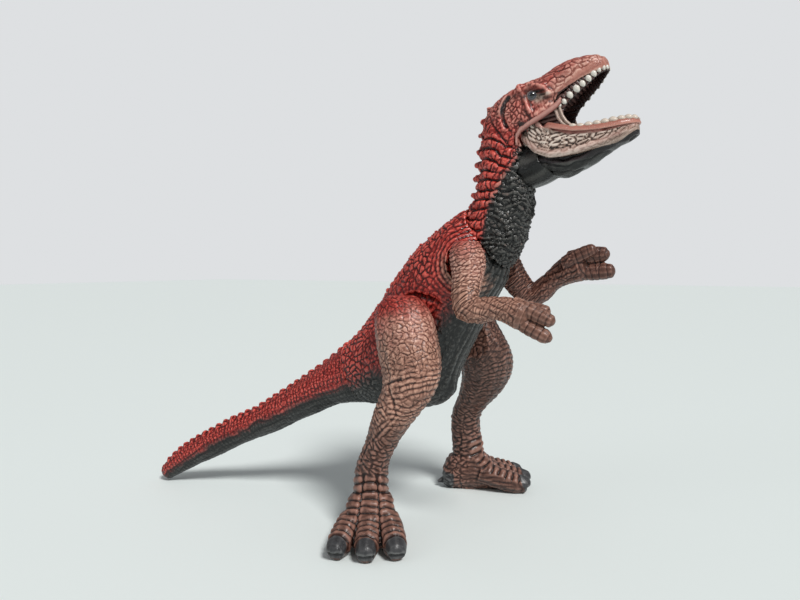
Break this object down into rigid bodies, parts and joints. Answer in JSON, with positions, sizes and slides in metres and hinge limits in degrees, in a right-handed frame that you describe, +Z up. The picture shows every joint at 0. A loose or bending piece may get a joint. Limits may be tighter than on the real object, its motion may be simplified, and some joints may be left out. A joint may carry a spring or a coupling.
{
  "type": "toy dinosaur figure",
  "caption": "Standing meat-eating dinosaur figure of soft vinyl with an open hinged jaw, a turning neck, and swinging arms and legs.",
  "frame": {"origin": "on the floor, under the centre of the whole figure's bounding box", "axes": "+Z up, the figure faces +X, its left side is +Y"},
  "size_m": [0.3732, 0.221, 0.3007],
  "materials": {
    "red_vinyl": "semi-gloss soft vinyl, brick red over dark",
    "tan_vinyl": "semi-gloss soft vinyl, pinkish tan",
    "jaw_vinyl": "semi-gloss soft vinyl, cream grey",
    "mouth_vinyl": "dark brown soft vinyl",
    "tooth_plastic": "glossy off-white",
    "eye_plastic": "glossy near-black",
    "hard_plastic": "plain dark grey"
  },
  "bodies": {
    "torso": {"torso_shell": "red_vinyl", "tail_shell": "red_vinyl", "tail_bush": "hard_plastic"},
    "head": {"neck_head_shell": "red_vinyl", "neck_bush": "hard_plastic", "palate": "mouth_vinyl", "upper_teeth": "tooth_plastic", "eye_right": "eye_plastic", "eye_left": "eye_plastic", "jaw_pin": "hard_plastic"},
    "jaw": {"lower_jaw": "jaw_vinyl", "mouth_floor": "mouth_vinyl", "lower_teeth": "tooth_plastic"},
    "arm_right": {"arm_right": "tan_vinyl", "shoulder_bush_right": "hard_plastic"},
    "arm_left": {"arm_left": "tan_vinyl", "shoulder_bush_left": "hard_plastic"},
    "leg_right": {"leg_right": "tan_vinyl", "hip_bush_right": "hard_plastic"},
    "leg_left": {"leg_left": "tan_vinyl", "hip_bush_left": "hard_plastic"}
  },
  "joints": [
    {"name": "neck_swivel", "type": "hinge", "parent": "torso", "child": "head", "pos_m": [0.08696, -0.01238, 0.1935], "axis": [0.8123, 0, 0.5832], "range_deg": [-25, 25]},
    {"name": "jaw_hinge", "type": "hinge", "parent": "head", "child": "jaw", "pos_m": [0.11596, -0.01238, 0.2683], "axis": [0, -1, 0], "range_deg": [0, 16]},
    {"name": "shoulder_right", "type": "hinge", "parent": "torso", "child": "arm_right", "pos_m": [0.08696, -0.03638, 0.178], "axis": [0, 1, 0], "range_deg": [-72, 0]},
    {"name": "shoulder_left", "type": "hinge", "parent": "torso", "child": "arm_left", "pos_m": [0.08696, 0.01162, 0.178], "axis": [0, 1, 0], "range_deg": [-45, 27]},
    {"name": "hip_right", "type": "hinge", "parent": "torso", "child": "leg_right", "pos_m": [0.04896, -0.04003, 0.126], "axis": [0, 1, 0], "range_deg": [-25, 25]},
    {"name": "hip_left", "type": "hinge", "parent": "torso", "child": "leg_left", "pos_m": [0.04896, 0.01527, 0.126], "axis": [0, 1, 0], "range_deg": [-25, 25]}
  ]
}
